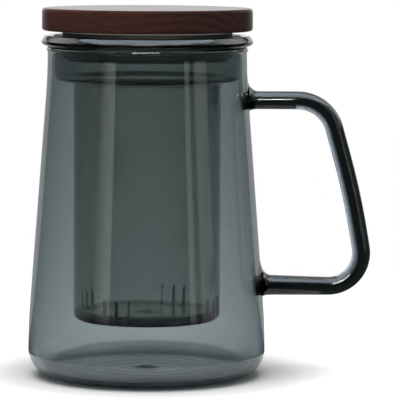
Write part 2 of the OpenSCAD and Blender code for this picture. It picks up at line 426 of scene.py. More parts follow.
def infuser_outline(infuser, mug):
    """Half section of the infuser: bottom, outside, rolled lip and inside."""
    rim_r = rim_of(mug)[0]
    collar = collar_radius(infuser, mug)
    collar_in = collar - infuser.wall
    seat = rim_r - collar
    seat_z = mug.height + infuser.fit
    lip_r = infuser.lip - infuser.bead
    lip_z = seat_z + infuser.bead
    collar_z = mug.height - infuser.collar_l
    tube_in = infuser.tube - infuser.wall
    corner = infuser.collar_corner
    corner_z = collar_z + corner
    thick = infuser.step + infuser.wall
    inside = infuser.inside
    floor_r = tube_in - inside
    floor_z = infuser.bottom + infuser.floor
    bottom_r = infuser.tube - infuser.corner
    bottom_rs = [infuser.tube * i / TUBE_BOTTOM_STEPS for i in range(TUBE_BOTTOM_STEPS)]
    floor_rs = [floor_r * i / TUBE_FLOOR_STEPS for i in range(TUBE_FLOOR_STEPS)]
    tube_low = infuser.bottom + infuser.corner
    tube_high = collar_z - infuser.step
    tube_zs = [
        tube_low + (tube_high - tube_low) * i / TUBE_STEPS
        for i in range(1, TUBE_STEPS)]
    return (
        [(r, infuser.bottom) for r in bottom_rs if r < bottom_r - MM]
        + arc(bottom_r, tube_low, infuser.corner, infuser.corner, -90, 0, 12)
        + [(infuser.tube, z) for z in tube_zs]
        + arc(infuser.tube + infuser.step, tube_high,
              infuser.step, infuser.step, 180, 90, 10)
        + arc(collar - corner, corner_z, corner, corner, -90, 0, 14)
        + arc(rim_r, seat_z - seat, seat, seat, 180, 90, 12)
        + arc(lip_r, lip_z, infuser.bead, infuser.bead, -90, BEVEL_START, 15)
        + fire_polished_bevel(lip_r, lip_z, infuser.bead)
        + arc(lip_r, infuser.top - infuser.mouth_l, lip_r - collar_in,
              infuser.mouth_l, 95, 180, 18)
        + arc(collar - corner, corner_z, corner - infuser.wall,
              corner - infuser.wall, 0, -90, 8)
        + arc(infuser.tube + infuser.step, tube_high, thick, thick, 90, 180, 14)
        + [(tube_in, z) for z in reversed(tube_zs)]
        + arc(floor_r, floor_z + inside, inside, inside, 0, -90, 8)
        + [(r, floor_z + bulge(r, infuser.bump_r, infuser.bump))
           for r in reversed(floor_rs)])


def slit_cutter(infuser):
    """One mesh of all the saw wheels, each where it cut its slit."""
    top = Vector((infuser.tube, infuser.bottom + infuser.slit_h))
    end = Vector((infuser.tube - infuser.slit_reach, infuser.bottom))
    way = (top - end).normalized()
    sag = math.sqrt(infuser.saw ** 2 - ((top - end).length / 2) ** 2)
    hub = (top + end) / 2 + sag * Vector((way.y, -way.x))
    deselect_all()
    wheels = []
    for group in range(infuser.slit_groups):
        for slit in range(infuser.group_slits):
            place = slit - (infuser.group_slits - 1) / 2
            angle = (infuser.slit_turn + math.tau * group / infuser.slit_groups
                     + infuser.slit_pitch * place)
            bpy.ops.mesh.primitive_cylinder_add(
                vertices=96, radius=infuser.saw, depth=infuser.slit_w,
                location=(hub.x * math.cos(angle), hub.x * math.sin(angle), hub.y),
                rotation=(math.pi / 2, 0, angle))
            wheels.append(bpy.context.object)
    for wheel in wheels:
        wheel.select_set(True)
    bpy.ops.object.join()
    apply_place()
    return bpy.context.object


def cut_away(piece, cutter):
    """Cuts the cutter out of the piece and deletes it."""
    cut = piece.modifiers.new("cut", "BOOLEAN")
    cut.operation = "DIFFERENCE"
    cut.solver = "EXACT"
    cut.object = cutter
    deselect_all()
    bpy.context.view_layer.objects.active = piece
    piece.select_set(True)
    bpy.ops.object.modifier_apply(modifier=cut.name)
    bpy.data.objects.remove(cutter)


def rod_path(handle, mug):
    """Corners of the rod's centre line as (x, z), and the bend at each."""
    upper = wall_radius(mug, handle.upper_z)
    lower = wall_radius(mug, handle.lower_z)
    upper_corner = Vector((upper + handle.upper_reach, handle.upper_z))
    lower_corner = Vector((lower + handle.lower_reach, handle.lower_z - handle.drop))
    way = (lower_corner - upper_corner).normalized()
    side_corner = (upper_corner + lower_corner) / 2 + handle.bow * Vector((-way.y, way.x))
    corners = [
        Vector((upper + handle.weld_l, handle.upper_z)),
        upper_corner, side_corner, lower_corner,
        Vector((lower + handle.weld_l, handle.lower_z))]
    bends = [0, handle.upper_bend, handle.side_bend, handle.lower_bend, 0]
    return corners, bends


def extrude_ring(step, scale, centre):
    """Extrudes the selected ring by step and scales it about its centre."""
    bpy.ops.mesh.extrude_region_move(TRANSFORM_OT_translate={"value": step})
    bpy.ops.transform.resize(value=(scale, scale, scale), center_override=centre)


def weld_rings(rod, handle):
    """Radius of the spread glass at each distance from the wall, inwards."""
    rings = []
    for i in range(WELD_STEPS + 1):
        angle = math.radians(90 * i / WELD_STEPS)
        radius = rod / 2 + handle.weld * (1 - math.cos(angle))
        rings.append((handle.weld_l * (1 - math.sin(angle)), radius))
    rings.append((-handle.weld_in, rod / 2 + handle.weld))
    return rings


def extrude_weld(start, way, rod, handle):
    """Extrudes the selected ring from start along way, and on into the wall."""
    start = start.copy()
    along = 0.0
    radius = rod / 2
    for distance, wide in weld_rings(rod, handle)[1:]:
        step = handle.weld_l - distance - along
        rise = handle.weld_rise * (wide - radius) / handle.weld
        along += step
        start.y += rise
        here = start + way * along
        extrude_ring(
            (way.x * step, 0, way.y * step + rise), wide / radius,
            (here.x, 0, here.y))
        radius = wide


def extrude_bar(start, end, grow):
    """Extrudes the selected ring from start to end, grow times as wide each step."""
    step = (end - start) / BAR_STEPS
    for i in range(BAR_STEPS):
        here = start + step * (i + 1)
        extrude_ring((step.x, 0, step.y), grow, (here.x, 0, here.y))


def spin_bend(centre, turn):
    """Spins the selected ring round centre, down by turn."""
    # The spin operator turns the other way round its axis.
    bpy.ops.mesh.spin(
        steps=max(6, round(math.degrees(turn) / BEND_STEP)), angle=-turn,
        center=(centre.x, 0, centre.y), axis=(0, 1, 0))


def select_open_ring(piece, x, low_z):
    """Selects the open ring of edges that lies at x and above low_z."""
    bpy.ops.mesh.select_all(action="DESELECT")
    mesh = bmesh.from_edit_mesh(piece.data)
    for edge in mesh.edges:
        at_x = all(abs(v.co.x - x) < MERGE for v in edge.verts)
        above = all(v.co.z > low_z for v in edge.verts)
        if at_x and above and edge.is_boundary:
            edge.select_set(True)
    bmesh.update_edit_mesh(piece.data)


def model_rod(name, handle, mug):
    """The bent rod: rings are extruded along the bars and spun round the bends."""
    corners, bends = rod_path(handle, mug)
    ways = [(b - a).normalized() for a, b in zip(corners, corners[1:])]
    turns = [0.0] + [a.angle(b) for a, b in zip(ways, ways[1:])] + [0.0]
    taken = [bend * math.tan(turn / 2) for bend, turn in zip(bends, turns)]
    deselect_all()
    bpy.ops.mesh.primitive_circle_add(
        vertices=ROD_SIDES, radius=handle.rod / 2, fill_type="NOTHING",
        location=(corners[0].x, 0, corners[0].y), rotation=(0, math.pi / 2, 0))
    piece = bpy.context.object
    apply_place()
    name_piece(piece, name)
    bpy.ops.object.mode_set(mode="EDIT")
    bpy.ops.mesh.select_all(action="SELECT")
    for leg, way in enumerate(ways):
        last = leg == len(ways) - 1
        grow = (handle.rod_low / handle.rod) ** (1 / BAR_STEPS) if last else 1.0
        end = corners[leg + 1] - way * taken[leg + 1]
        extrude_bar(corners[leg] + way * taken[leg], end, grow)
        if not last:
            centre = end + bends[leg + 1] * Vector((way.y, -way.x))
            spin_bend(centre, turns[leg + 1])
    extrude_weld(corners[-1], ways[-1], handle.rod_low, handle)
    # Back to the first ring, which runs into the upper weld.
    select_open_ring(piece, corners[0].x, handle.upper_z - handle.rod)
    extrude_weld(corners[0], Vector((-1, 0)), handle.rod, handle)
    bpy.ops.mesh.select_all(action="DESELECT")
    bpy.ops.mesh.select_non_manifold()
    bpy.ops.mesh.fill_holes(sides=0)
    bpy.ops.mesh.select_all(action="SELECT")
    bpy.ops.mesh.normals_make_consistent(inside=False)
    bpy.ops.object.mode_set(mode="OBJECT")
    bpy.ops.object.shade_smooth_by_angle(angle=math.radians(60))
    return piece


def fit_weld_to_wall(piece, handle, mug):
    """Bends the spread glass of both welds to the round, tapering wall."""
    middle = (handle.upper_z + handle.lower_z) / 2
    for vertex in piece.data.vertices:
        co = vertex.co
        wall = math.sqrt(max(wall_radius(mug, co.z) ** 2 - co.y ** 2, 0))
        flat = wall_radius(mug, handle.upper_z if co.z > middle else handle.lower_z)
        share = 1 - (co.x - flat) / handle.weld_l
        if share > 0:
            co.x += (wall - flat) * min(share, 1)


def lid_outline(lid):
    """Half section of the lid: plug, seal groove, disc and top."""
    groove = lid.band - lid.band_t - lid.seal_fit
    flange_r = groove + lid.flange_lip
    flange_z = lid.plug_z + lid.flange
    disc_z = lid.top - lid.thickness
    edge = lid.flange / 3
    return (
        [(0, lid.plug_z), (flange_r * 0.5, lid.plug_z)]
        + arc(flange_r - edge, lid.plug_z + edge, edge, edge, -90, 0, 6)
        + [(flange_r, flange_z - edge / 3), (flange_r - edge / 3, flange_z),
           (groove, flange_z), (groove, disc_z), (lid.band, disc_z),
           (lid.radius - 2 * lid.low_round, disc_z)]
        + arc(lid.radius - lid.low_round, disc_z + lid.low_round,
              lid.low_round, lid.low_round, -90, 0, 12)
        + arc(lid.radius - lid.top_round, lid.top - lid.top_round,
              lid.top_round, lid.top_round, 0, 90, 14)
        + [(lid.radius * share, lid.top) for share in (0.9, 0.6, 0.3, 0)])


def seal_outline(lid, infuser, mug):
    """Half section of the seal: a band with rounded edges and thin fins."""
    collar_in = collar_radius(infuser, mug) - infuser.wall
    lip_r = infuser.lip - infuser.bead
    rest_z = infuser.top - lid.rest_depth
    drop = (rest_z - infuser.top + infuser.mouth_l) / infuser.mouth_l
    funnel = lip_r - (lip_r - collar_in) * math.sqrt(1 - drop * drop)
    first = lid.seal_low + lid.fin
    fins = [
        (first, collar_in - lid.fin_gap),
        (first + lid.fin_pitch, collar_in - lid.fin_gap),
        (rest_z, funnel - lid.fin_gap)]
    inner = lid.band - lid.band_t
    soft = lid.fin / 3
    outline = [(inner, lid.seal_low)]
    outline += arc(lid.band - soft, lid.seal_low + soft, soft, soft, -90, 0, 4)
    for z, tip in fins:
        outline += [
            (lid.band, z - lid.fin / 2),
            (tip - lid.fin / 4, z + lid.fin / 10),
            (tip, z + lid.fin / 4),
            (tip - lid.fin / 4, z + lid.fin / 2),
            (lid.band, z + lid.fin / 2)]
    outline += arc(lid.band - soft, lid.seal_top - soft, soft, soft, 0, 90, 4)
    outline += [(inner, lid.seal_top), (inner, lid.seal_low)]
    return outline


# ---------------------------------------------------------------- materials


def linear(code):
    """A hex sRGB colour as linear red, green, blue and alpha."""
    channels = []
    for i in (1, 3, 5):
        share = int(code[i:i + 2], 16) / 255
        if share <= 0.04045:
            channels.append(share / 12.92)
        else:
            channels.append(((share + 0.055) / 1.055) ** 2.4)
    return (*channels, 1.0)


def add_node(tree, kind, settings=None, links=None):
    """Adds a node. settings holds input values and attributes, links its feeds."""
    node = tree.nodes.new(kind)
    for key, value in (settings or {}).items():
        if isinstance(key, int) or key in node.inputs:
            node.inputs[key].default_value = value
        else:
            setattr(node, key, value)
    for key, source in (links or {}).items():
        tree.links.new(source, node.inputs[key])
    return node


def blank_material(name):
    """A material with an empty node tree, and its output node."""
    material = bpy.data.materials.new(name)
    material.use_nodes = True
    tree = material.node_tree
    tree.nodes.clear()
    return material, tree, add_node(tree, "ShaderNodeOutputMaterial")


def fill_with_melt(tree, output, code, thickness):
    """Fills a piece with tinted glass, of which thickness passes the hex colour."""
    loss = [-math.log(max(share, 0.001)) / thickness for share in linear(code)[:3]]
    density = max(max(loss), 1.0)
    melt = add_node(
        tree, "ShaderNodeVolumeAbsorption",
        {"Color": (*(1 - value / density for value in loss), 1.0),
         "Density": density})
    tree.links.new(melt.outputs[0], output.inputs["Volume"])


def mottled(tree, code, gain, grain):
    """The hex colour, and up to gain times as bright where the grain is high."""
    dark = linear(code)
    pale = (*(channel * gain for channel in dark[:3]), 1.0)
    return add_node(
        tree, "ShaderNodeMix", {"data_type": "RGBA", 6: dark, 7: pale},
        {0: grain.outputs["Fac"]})


# Height of the shallow waves in the glass, and the height over which they end
# where the glass was pressed in a mould.
WAVE_HEIGHT = 0.02 * MM
WAVE_END = 4 * MM
# The skin's tint starts at this share of its height. A power below 1 brings most of
# it on low down.
SKIN_START = 0.12
SKIN_POWER = 0.6


def smoked_glass(
        name, code, thickness, high_z, cloud, draw, skin_high=WHITE, true_z=1.0):
    """Borosilicate, smoke-tinted in the melt and fire polished.

    Its mass takes up light, so thickness of it passes the colour of code and
    a long way through it, as in a rim or a floor's edge, is nearly black.
    It was blown or drawn hot: its skin is clear and glossy, with a very
    shallow wave that bends what is seen through it. cloud is the width of a
    wave, and draw is how many times longer it is upwards. The skin passes
    white low down and skin_high at high_z, so the glass is darker higher up.
    Above true_z the glass was pressed in a mould and has no wave.
    """
    material, tree, output = blank_material(name)
    place = add_node(tree, "ShaderNodeTexCoord")
    axes = add_node(
        tree, "ShaderNodeSeparateXYZ", links={"Vector": place.outputs["Object"]})
    rise = add_node(
        tree, "ShaderNodeMapRange",
        {"From Min": high_z * SKIN_START, "From Max": high_z},
        {"Value": axes.outputs["Z"]})
    eased = add_node(
        tree, "ShaderNodeMath", {"operation": "POWER", 1: SKIN_POWER},
        {0: rise.outputs[0]})
    tint = add_node(
        tree, "ShaderNodeMix",
        {"data_type": "RGBA", 6: linear(WHITE), 7: linear(skin_high)},
        {0: eased.outputs[0]})
    drawn = add_node(
        tree, "ShaderNodeMapping", {"Scale": (1, 1, 1 / draw)},
        {"Vector": place.outputs["Object"]})
    wave = add_node(
        tree, "ShaderNodeTexNoise",
        {"Scale": 1 / cloud, "Detail": 1.0, "Roughness": 0.4},
        {"Vector": drawn.outputs[0]})
    blown = add_node(
        tree, "ShaderNodeMapRange",
        {"From Min": true_z - WAVE_END, "From Max": true_z, "To Min": 1.0,
         "To Max": 0.0, "interpolation_type": "SMOOTHSTEP"},
        {"Value": axes.outputs["Z"]})
    height = add_node(
        tree, "ShaderNodeMath", {"operation": "MULTIPLY"},
        {0: wave.outputs["Fac"], 1: blown.outputs[0]})
    skin = add_node(
        tree, "ShaderNodeBump", {"Strength": 1.0, "Distance": WAVE_HEIGHT},
        {"Height": height.outputs[0]})
    # Water spots and handling leave the polish slightly uneven.
    haze = add_node(
        tree, "ShaderNodeMapRange", {"To Min": 0.0, "To Max": 0.006},
        {"Value": wave.outputs["Fac"]})
    glass = add_node(
        tree, "ShaderNodeBsdfPrincipled",
        {"IOR": 1.47, "Transmission Weight": 1.0},
        {"Base Color": tint.outputs[2], "Normal": skin.outputs[0],
         "Roughness": haze.outputs[0]})
    tree.links.new(glass.outputs[0], output.inputs["Surface"])
    fill_with_melt(tree, output, code, thickness)
    return material


def shaded_ground_glass(name, code, glass_code, thickness):
    """Faces that a diamond saw left matt, in the same smoked glass."""
    material, tree, output = blank_material(name)
    place = add_node(tree, "ShaderNodeTexCoord")
    grit = add_node(
        tree, "ShaderNodeTexNoise", {"Scale": 1 / (0.15 * MM), "Detail": 2.0},
        {"Vector": place.outputs["Object"]})
    # Painted shade: the dark tone stands for the shade in the narrow slits.
    tone = mottled(tree, code, 1.6, grit)
    matt = add_node(
        tree, "ShaderNodeBump", {"Strength": 0.4, "Distance": 0.02 * MM},
        {"Height": grit.outputs["Fac"]})
    face = add_node(
        tree, "ShaderNodeBsdfPrincipled",
        {"IOR": 1.47, "Roughness": 0.6, "Transmission Weight": 0.6},
        {"Base Color": tone.outputs[2], "Normal": matt.outputs[0]})
    tree.links.new(face.outputs[0], output.inputs["Surface"])
    fill_with_melt(tree, output, glass_code, thickness)
    return material


# The board's pith runs nearly along X, under the lid and in front of its axis.
BOARD_PLACE = (0, 45 * MM, -85 * MM)
BOARD_TURN = (0.1, 0.05, 0.3)
# A wave texture of Scale 1 has its rings this far apart.
WAVE_PITCH = 0.314


def stroke_scale(long, slender):
    """Scale for strokes along the board that are long, and slender times as thin."""
    return (1 / long, slender / long, slender / long)


def walnut(finishes):
    """Turned black walnut, finely sanded and oiled.

    The board's rings run nearly along X, so the disc shows long streaks on
    its front and bent ones at its ends. Pores are short dark strokes.
    """
    material, tree, output = blank_material("oiled_walnut")
    place = add_node(tree, "ShaderNodeTexCoord")
    board = add_node(
        tree, "ShaderNodeMapping",
        {"Location": BOARD_PLACE, "Rotation": BOARD_TURN},
        {"Vector": place.outputs["Object"]})
    # Rings about 3 mm apart.
    rings = add_node(
        tree, "ShaderNodeTexWave",
        {"wave_type": "RINGS", "rings_direction": "X",
         "Scale": WAVE_PITCH / (3.2 * MM), "Distortion": 3.0, "Detail": 3.0,
         "Detail Scale": 0.35, "Detail Roughness": 0.6},
        {"Vector": board.outputs[0]})
    # Fibres about 17 mm long and 1.1 mm wide, drawn coarser than real.
    long_grain = add_node(
        tree, "ShaderNodeMapping", {"Scale": stroke_scale(50 / 3 * MM, 15)},
        {"Vector": board.outputs[0]})
    fibre = add_node(
        tree, "ShaderNodeTexNoise", {"Scale": 1.0, "Detail": 4.0, "Roughness": 0.65},
        {"Vector": long_grain.outputs[0]})
    flow = add_node(
        tree, "ShaderNodeMath", {"operation": "MULTIPLY_ADD", 1: 0.28, 2: 0.1},
        {0: rings.outputs["Fac"]})
    blend = add_node(
        tree, "ShaderNodeMath", {"operation": "MULTIPLY_ADD", 1: 0.75},
        {0: fibre.outputs["Fac"], 2: flow.outputs[0]})
    # Painted light: the disc is paler on its left, -X, side, where the left lamp falls,
    # and darker towards +X.
    across = add_node(
        tree, "ShaderNodeSeparateXYZ", links={"Vector": place.outputs["Object"]})
    painted_left_light = add_node(
        tree, "ShaderNodeMapRange",
        {"From Min": -41 * MM, "From Max": 20 * MM, "To Min": 0.46, "To Max": -0.14},
        {"Value": across.outputs["X"]})
    tone = add_node(
        tree, "ShaderNodeMath", {"operation": "ADD"},
        {0: blend.outputs[0], 1: painted_left_light.outputs[0]})
    wood = add_node(tree, "ShaderNodeValToRGB", links={"Fac": tone.outputs[0]})
    ramp = wood.color_ramp
    ramp.elements[0].position = 0.3
    ramp.elements[0].color = linear(finishes.wood_dark)
    ramp.elements[1].position = 0.85
    ramp.elements[1].color = linear(finishes.wood_light)
    # Pores about 0.4 mm wide and 5 mm long, drawn a little coarser than real.
    pore_way = add_node(
        tree, "ShaderNodeMapping", {"Scale": stroke_scale(5 * MM, 12)},
        {"Vector": board.outputs[0]})
    pore = add_node(
        tree, "ShaderNodeTexNoise", {"Scale": 1.0, "Detail": 1.0},
        {"Vector": pore_way.outputs[0]})
    pored = add_node(
        tree, "ShaderNodeMapRange", {"From Min": 0.62, "From Max": 0.7},
        {"Value": pore.outputs["Fac"]})
    shade = add_node(
        tree, "ShaderNodeMix",
        {"data_type": "RGBA", 7: linear(finishes.wood_pore)},
        {0: pored.outputs[0], 6: wood.outputs["Color"]})
    sink = add_node(
        tree, "ShaderNodeBump",
        {"invert": True, "Strength": 0.25, "Distance": 0.04 * MM},
        {"Height": pored.outputs[0]})
    # Sanded wood is matt from the front, and shines when seen along its face.
    slant = add_node(tree, "ShaderNodeLayerWeight", {"Blend": 0.5})
    gloss = add_node(
        tree, "ShaderNodeMapRange",
        {"From Min": 0.35, "From Max": 0.95, "To Min": 0.8, "To Max": 0.12},
        {"Value": slant.outputs["Facing"]})
    uneven = add_node(
        tree, "ShaderNodeMath", {"operation": "MULTIPLY_ADD", 1: 0.1},
        {0: blend.outputs[0], 2: gloss.outputs[0]})
    surface = add_node(
        tree, "ShaderNodeBsdfPrincipled", {"IOR": 1.5, "Specular IOR Level": 0.08},
        {"Base Color": shade.outputs[2], "Roughness": uneven.outputs[0],
         "Normal": sink.outputs[0]})
    tree.links.new(surface.outputs[0], output.inputs["Surface"])
    return material


def silicone(finishes, edge_z):
    """Moulded food-grade silicone: dark, soft and satin, with a fine haze.

    Above edge_z it is painted pale, a painted highlight along its top edge.
    """
    material, tree, output = blank_material("moulded_silicone")
    place = add_node(tree, "ShaderNodeTexCoord")
    grain = add_node(
        tree, "ShaderNodeTexNoise", {"Scale": 1 / (0.8 * MM), "Detail": 2.0},
        {"Vector": place.outputs["Object"]})
    tone = mottled(tree, finishes.silicone, 1.25, grain)
    axes = add_node(
        tree, "ShaderNodeSeparateXYZ", links={"Vector": place.outputs["Object"]})
    # Painted highlight: a pale band along the seal's top edge.
    highlighted = add_node(
        tree, "ShaderNodeMapRange",
        {"From Min": edge_z - 0.1 * MM, "From Max": edge_z + 0.1 * MM},
        {"Value": axes.outputs["Z"]})
    skin = add_node(
        tree, "ShaderNodeMix", {"data_type": "RGBA", 7: linear(finishes.edge_highlight)},
        {0: highlighted.outputs[0], 6: tone.outputs[2]})
    satin = add_node(
        tree, "ShaderNodeMapRange", {"To Min": 0.6, "To Max": 0.75},
        {"Value": grain.outputs["Fac"]})
    matt = add_node(
        tree, "ShaderNodeBump", {"Strength": 0.2, "Distance": 0.02 * MM},
        {"Height": grain.outputs["Fac"]})
    surface = add_node(
        tree, "ShaderNodeBsdfPrincipled", {"IOR": 1.42},
        {"Base Color": skin.outputs[2], "Roughness": satin.outputs[0],
         "Normal": matt.outputs[0]})
    tree.links.new(surface.outputs[0], output.inputs["Surface"])
    return material


# ------------------------------------------------------------------- studio


def shows_background(tree):
    """1 for the camera's, mirrored and refracted rays, and 0 for lighting rays."""
    path = add_node(tree, "ShaderNodeLightPath")
    seen = add_node(
        tree, "ShaderNodeMath", {"operation": "MAXIMUM"},
        {0: path.outputs["Is Camera Ray"], 1: path.outputs["Is Glossy Ray"]})
    return add_node(
        tree, "ShaderNodeMath", {"operation": "MAXIMUM"},
        {0: seen.outputs[0], 1: path.outputs["Is Transmission Ray"]})


def white_room(studio):
    """The world: a white room to look at, and a plain soft light to be lit by."""
    world = bpy.data.worlds.new("white_room")
    bpy.context.scene.world = world
    world.use_nodes = True
    tree = world.node_tree
    tree.nodes.clear()
    output = add_node(tree, "ShaderNodeOutputWorld")
    seen = shows_background(tree)
    level = add_node(
        tree, "ShaderNodeMapRange", {"To Min": studio.room, "To Max": 1.0},
        {"Value": seen.outputs[0]})
    light = add_node(
        tree, "ShaderNodeBackground", {"Color": linear(WHITE)},
        {"Strength": level.outputs[0]})
    tree.links.new(light.outputs[0], output.inputs["Surface"])


# The floor's own glow starts where the mug stands and is full at CLEAR_R.
CONTACT_R = 0.043
CLEAR_R = 0.084
# The share of light that its paint gives back, and the share where a shadow is painted on
# it.
FLOOR_PAINT = 0.77
DARK_PAINT = 0.43
# Seen through the glass the floor glows less, and a shadow is painted on it under the mug
# and just behind it, in an oval that is narrower from side to side.
THROUGH_SHARE = 0.45
SHADE_PLACE = (0, -0.03, 0)
SHADE_WIDTHS = (1.35, 1, 1)
SHADE_R = 0.049
SHADE_CLEAR_R = 0.058
# Around the object the floor shows its shadow, and further out it is plain white.
# There it lights the object at PLAIN_LIGHT.
SHADOW_R = 0.1
PLAIN_R = 0.35
PLAIN_LIGHT = 0.8
# The floor reaches to the horizon, and lies a little under the glass, so that their
# faces don't meet.
FLOOR_SIZE = 24
FLOOR_DROP = 0.1 * MM


def grey(level):
    """A grey that gives back this share of the light."""
    return (level, level, level, 1.0)


def white_floor(studio):
    """A plain white floor that keeps the object's shadow."""
    bpy.ops.mesh.primitive_plane_add(size=FLOOR_SIZE, location=(0, 0, -FLOOR_DROP))
    floor = bpy.context.object
    floor.name = "white_floor"
    apply_place()
    material, tree, output = blank_material("white_floor_paint")
    place = add_node(tree, "ShaderNodeTexCoord")
    reach = add_node(
        tree, "ShaderNodeVectorMath", {"operation": "LENGTH"},
        {0: place.outputs["Object"]})
    far = add_node(
        tree, "ShaderNodeMapRange",
        {"From Min": SHADOW_R, "From Max": PLAIN_R,
         "interpolation_type": "SMOOTHSTEP"},
        {"Value": reach.outputs["Value"]})
    path = add_node(tree, "ShaderNodeLightPath")
    seen = shows_background(tree)
    bent = add_node(
        tree, "ShaderNodeMath", {"operation": "MAXIMUM"},
        {0: path.outputs["Is Glossy Ray"], 1: path.outputs["Is Transmission Ray"]})
    # Painted shadow: for mirrored and refracted rays the paint is darker in an oval under
    # and behind the mug.
    oval = add_node(
        tree, "ShaderNodeVectorMath",
        {"operation": "MULTIPLY_ADD", 1: SHADE_WIDTHS, 2: SHADE_PLACE},
        {0: place.outputs["Object"]})
    behind = add_node(
        tree, "ShaderNodeVectorMath", {"operation": "LENGTH"}, {0: oval.outputs[0]})
    dimmed = add_node(
        tree, "ShaderNodeMapRange",
        {"From Min": SHADE_R, "From Max": SHADE_CLEAR_R, "To Min": 1.0,
         "To Max": 0.0, "interpolation_type": "SMOOTHSTEP"},
        {"Value": behind.outputs["Value"]})
    shaded = add_node(
        tree, "ShaderNodeMath", {"operation": "MULTIPLY"},
        {0: dimmed.outputs[0], 1: bent.outputs[0]})
    shade = add_node(
        tree, "ShaderNodeMix",
        {"data_type": "RGBA", 6: grey(FLOOR_PAINT), 7: grey(DARK_PAINT)},
        {0: shaded.outputs[0]})
    paint = add_node(
        tree, "ShaderNodeBsdfDiffuse", links={"Color": shade.outputs[2]})
    clear = add_node(
        tree, "ShaderNodeMapRange",
        {"From Min": CONTACT_R, "From Max": CLEAR_R, "To Max": studio.floor_glow,
         "interpolation_type": "SMOOTHSTEP"},
        {"Value": reach.outputs["Value"]})
    weight = add_node(
        tree, "ShaderNodeMath", {"operation": "MULTIPLY_ADD", 1: THROUGH_SHARE},
        {0: bent.outputs[0], 2: path.outputs["Is Camera Ray"]})
    glow = add_node(
        tree, "ShaderNodeMath", {"operation": "MULTIPLY"},
        {0: weight.outputs[0], 1: clear.outputs[0]})
    lift = add_node(
        tree, "ShaderNodeEmission", {"Color": linear(WHITE)},
        {"Strength": glow.outputs[0]})
    near = add_node(
        tree, "ShaderNodeAddShader", links={0: paint.outputs[0], 1: lift.outputs[0]})
    plain_level = add_node(
        tree, "ShaderNodeMapRange", {"To Min": PLAIN_LIGHT, "To Max": 1.0},
        {"Value": seen.outputs[0]})
    plain = add_node(
        tree, "ShaderNodeEmission", {"Color": linear(WHITE)},
        {"Strength": plain_level.outputs[0]})
    mixed = add_node(
        tree, "ShaderNodeMixShader",
        links={0: far.outputs[0], 1: near.outputs[0], 2: plain.outputs[0]})
    tree.links.new(mixed.outputs[0], output.inputs["Surface"])
    floor.data.materials.append(material)


def hide_from(thing, *rays):
    """Hides a lamp or a cloth from kinds of rays, such as camera or diffuse ones."""
    for ray in rays:
        setattr(thing, "visible_" + ray, False)


# The share of a softbox's width and height over which its edges fade out.
EDGE_FADE = 0.06


def softbox(
        name, centre, aim, width, height, level, fades=(EDGE_FADE, EDGE_FADE),
        shade=WHITE, hidden=()):
    """A flat lamp that faces aim. level is its brightness, where white is 1.

    fades are the shares of its width over which it fades out at either end.
    It is hidden from the camera's rays, from shadow rays and from those in hidden.
    """
    centre = Vector(centre)
    facing = (Vector(aim) - centre).to_track_quat("Z", "Y").to_euler()
    deselect_all()
    bpy.ops.mesh.primitive_plane_add(size=1, location=centre, rotation=facing)
    lamp = bpy.context.object
    lamp.name = name
    lamp.scale = (width, height, 1)
    apply_place()
    material, tree, output = blank_material(name + "_cloth")
    place = add_node(tree, "ShaderNodeTexCoord")
    axes = add_node(
        tree, "ShaderNodeSeparateXYZ", links={"Vector": place.outputs["UV"]})
    strength = None
    for axis, start, end in (
            ("X", 0.0, fades[0]), ("X", 1.0, 1 - fades[1]),
            ("Y", 0.0, EDGE_FADE), ("Y", 1.0, 1 - EDGE_FADE)):
        fade = add_node(
            tree, "ShaderNodeMapRange",
            {"From Min": start, "From Max": end, "interpolation_type": "SMOOTHSTEP"},
            {"Value": axes.outputs[axis]})
        product = add_node(
            tree, "ShaderNodeMath", {"operation": "MULTIPLY", 0: level},
            {1: fade.outputs[0]})
        if strength:
            tree.links.new(strength.outputs[0], product.inputs[0])
        strength = product
    glow = add_node(
        tree, "ShaderNodeEmission", {"Color": linear(shade)},
        {"Strength": strength.outputs[0]})
    # From behind, the lamp is clear.
    clear = add_node(tree, "ShaderNodeBsdfTransparent")
    face = add_node(tree, "ShaderNodeNewGeometry")
    sided = add_node(
        tree, "ShaderNodeMixShader",
        links={0: face.outputs["Backfacing"], 1: glow.outputs[0], 2: clear.outputs[0]})
    tree.links.new(sided.outputs[0], output.inputs["Surface"])
    lamp.data.materials.append(material)
    hide_from(lamp, "camera", "shadow", *hidden)


def small_lamp(name, centre, aim, width, height, power, shade):
    """A lamp that faces aim and is seen in mirrored rays alone. power in watts.

    It fades out towards the camera.
    """
    data = bpy.data.lights.new(name, "AREA")
    data.shape = "RECTANGLE"
    data.size = width
    data.size_y = height
    data.energy = power
    data.use_nodes = True
    tree = data.node_tree
    tree.nodes.clear()
    face = add_node(tree, "ShaderNodeNewGeometry")
    across = add_node(
        tree, "ShaderNodeSeparateXYZ", links={"Vector": face.outputs["Parametric"]})
    fade = add_node(
        tree, "ShaderNodeMapRange", {"From Min": 1.0, "From Max": 0.3},
        {"Value": across.outputs["X"]})
    glow = add_node(
        tree, "ShaderNodeEmission", {"Color": linear(shade)},
        {"Strength": fade.outputs[0]})
    output = add_node(tree, "ShaderNodeOutputLight")
    tree.links.new(glow.outputs[0], output.inputs["Surface"])
    lamp = bpy.data.objects.new(name, data)
    bpy.context.scene.collection.objects.link(lamp)
    lamp.location = centre
    facing = Vector(centre) - Vector(aim)
    lamp.rotation_euler = facing.to_track_quat("Z", "Y").to_euler()
    hide_from(lamp, "camera", "diffuse", "transmission")


def around(azimuth, distance, height):
    """A place seen from the mug: azimuth in degrees from the camera to the right."""
    angle = math.radians(azimuth)
    return (distance * math.sin(angle), -distance * math.cos(angle), height)


# A cloth is paler behind the mug: from where the first of these shares of the way
# there leads straight back, and fully from the second on.
PALE_SHARES = (0.75, 0.79)


